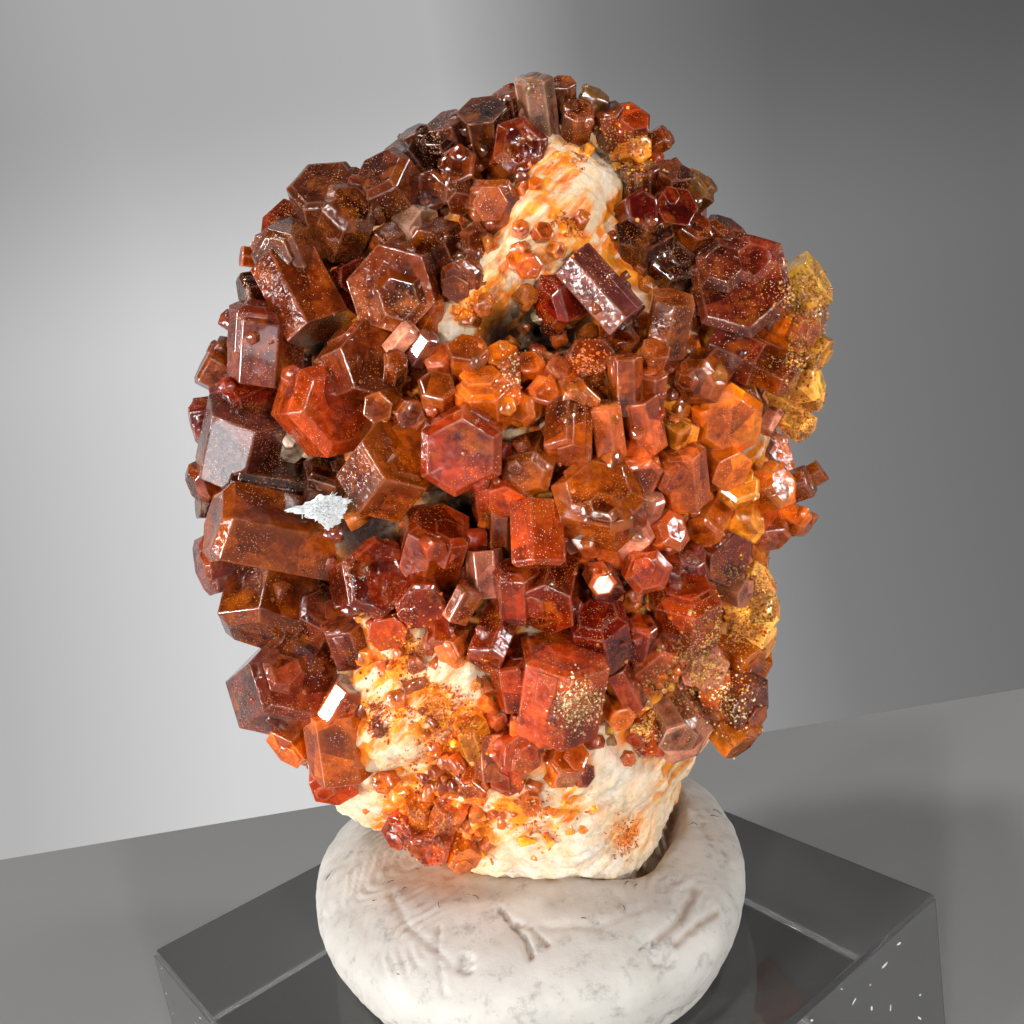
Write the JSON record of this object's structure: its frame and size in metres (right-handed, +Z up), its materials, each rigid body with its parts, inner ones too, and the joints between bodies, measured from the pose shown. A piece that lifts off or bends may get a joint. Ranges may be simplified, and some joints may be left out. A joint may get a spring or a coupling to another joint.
{
  "type": "mineral specimen on a display block",
  "caption": "Vanadinite crystals grown over a white rock, stood in a flattened ball of mineral putty on a clear acrylic display block.",
  "frame": {"origin": "centre of the display block's underside", "axes": "+Z up; the specimen's show face looks towards -Y, and the block is turned so that a corner points that way"},
  "size_m": [0.044, 0.044, 0.0578],
  "materials": {
    "crystal": "resinous gloss, orange-red to red-brown",
    "golden_crystal": "sparkling, golden orange",
    "rock": "rough, white to cream, stained orange",
    "putty": "soft matt with finger marks",
    "acrylic": "clear, sides slightly scuffed"
  },
  "bodies": {
    "root": {"apron_crystals": "crystal", "back_left_crystals": "crystal", "back_right_crystals": "crystal", "back_top_crystals": "crystal", "back_top_crystals_2": "crystal", "cave_crystals": "crystal", "centre_crystals": "crystal", "centre_crystals_2": "crystal", "centre_right_crystals": "crystal", "crown_crystals": "crystal", "crown_crystals_2": "crystal", "display_block": "acrylic", "foot_druse": "golden_crystal", "ledge_crystals": "crystal", "ledge_crystals_2": "crystal", "left_flank_crystals": "crystal", "left_foot_crystals": "crystal", "left_shoulder_crystals": "crystal", "left_side_crystals": "crystal", "left_side_crystals_2": "crystal", "left_side_crystals_3": "crystal", "left_side_crystals_4": "crystal", "left_side_crystals_5": "crystal", "lower_centre_crystals": "crystal", "lower_left_crystals": "crystal", "lower_right_crystals": "crystal", "lower_right_crystals_2": "crystal", "lower_right_crystals_3": "crystal", "lower_right_edge_crystals": "crystal", "lower_right_edge_crystals_2": "crystal", "matrix": "rock", "middle_left_crystals": "crystal", "middle_left_crystals_2": "crystal", "mineral_putty": "putty", "red_button_crystal": "crystal", "right_druse": "golden_crystal", "right_druse_2": "golden_crystal", "right_edge_crystals": "crystal", "right_shoulder_crystals": "crystal", "right_shoulder_crystals_2": "crystal", "right_side_crystals": "crystal", "right_side_crystals_2": "crystal", "top_right_knob": "crystal", "upper_left_crystals": "crystal", "upper_right_crystals": "crystal"}
  },
  "joints": []
}
